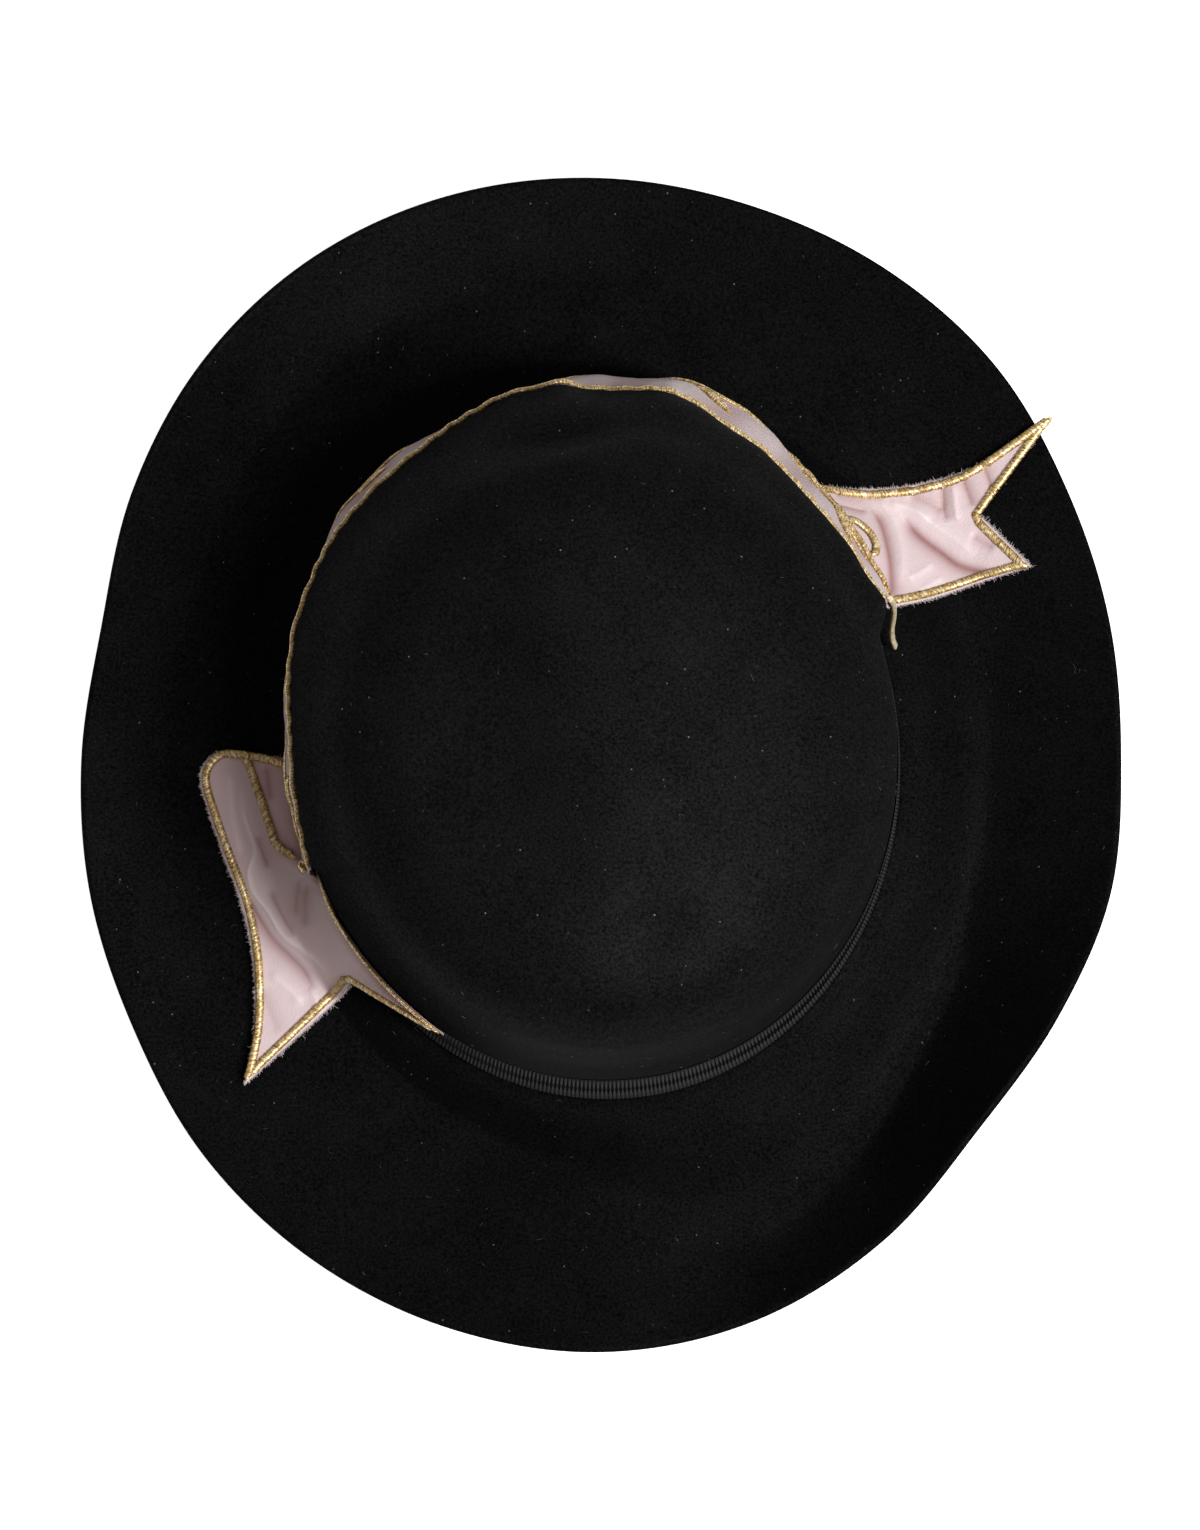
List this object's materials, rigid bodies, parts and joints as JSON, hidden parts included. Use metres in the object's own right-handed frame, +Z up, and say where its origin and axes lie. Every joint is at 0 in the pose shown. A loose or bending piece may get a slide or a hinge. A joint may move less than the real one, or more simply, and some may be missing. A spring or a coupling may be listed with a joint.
{
  "type": "wide-brim felt hat",
  "caption": "Wide-brim black felt hat with a rounded crown, a ribbed ribbon and a pink satin banner whose gold-edged swallow-tailed ends lie over the brim.",
  "frame": {"origin": "middle of the hat's base, on the surface that the brim rests on", "axes": "+Z up, +Y towards the front of the hat (the longer way of the brim), +X towards the right of the picture, which is the side of the lifted brim"},
  "size_m": [0.3047, 0.3452, 0.1189],
  "materials": {
    "black_felt": "matt pressed wool felt",
    "black_grosgrain": "ribbed ribbon with a low sheen",
    "pink_satin": "smooth satin, soft sheen",
    "gold_thread": "satin stitch in metallic thread"
  },
  "bodies": {
    "root": {"felt_body": "black_felt", "grosgrain_band": "black_grosgrain", "banner_band": "pink_satin", "banner_tail_left": "pink_satin", "banner_tail_right": "pink_satin", "gold_edge_band_top": "gold_thread", "gold_edge_band_bottom": "gold_thread", "gold_edge_left_long": "gold_thread", "gold_edge_left_end": "gold_thread", "gold_edge_left_crown": "gold_thread", "gold_fold_left": "gold_thread", "gold_edge_right_front": "gold_thread", "gold_edge_right_end": "gold_thread", "gold_edge_right_back": "gold_thread", "gold_curl_right": "gold_thread", "gold_loose_end": "gold_thread", "gold_knot": "gold_thread", "gold_stem": "gold_thread", "gold_leaf_1": "gold_thread", "gold_leaf_2": "gold_thread", "gold_leaf_3": "gold_thread", "gold_leaf_4": "gold_thread", "gold_leaf_5": "gold_thread", "gold_leaf_6": "gold_thread", "gold_leaf_7": "gold_thread", "gold_leaf_8": "gold_thread", "gold_leaf_9": "gold_thread", "gold_leaf_10": "gold_thread", "gold_leaf_11": "gold_thread"}
  },
  "joints": []
}
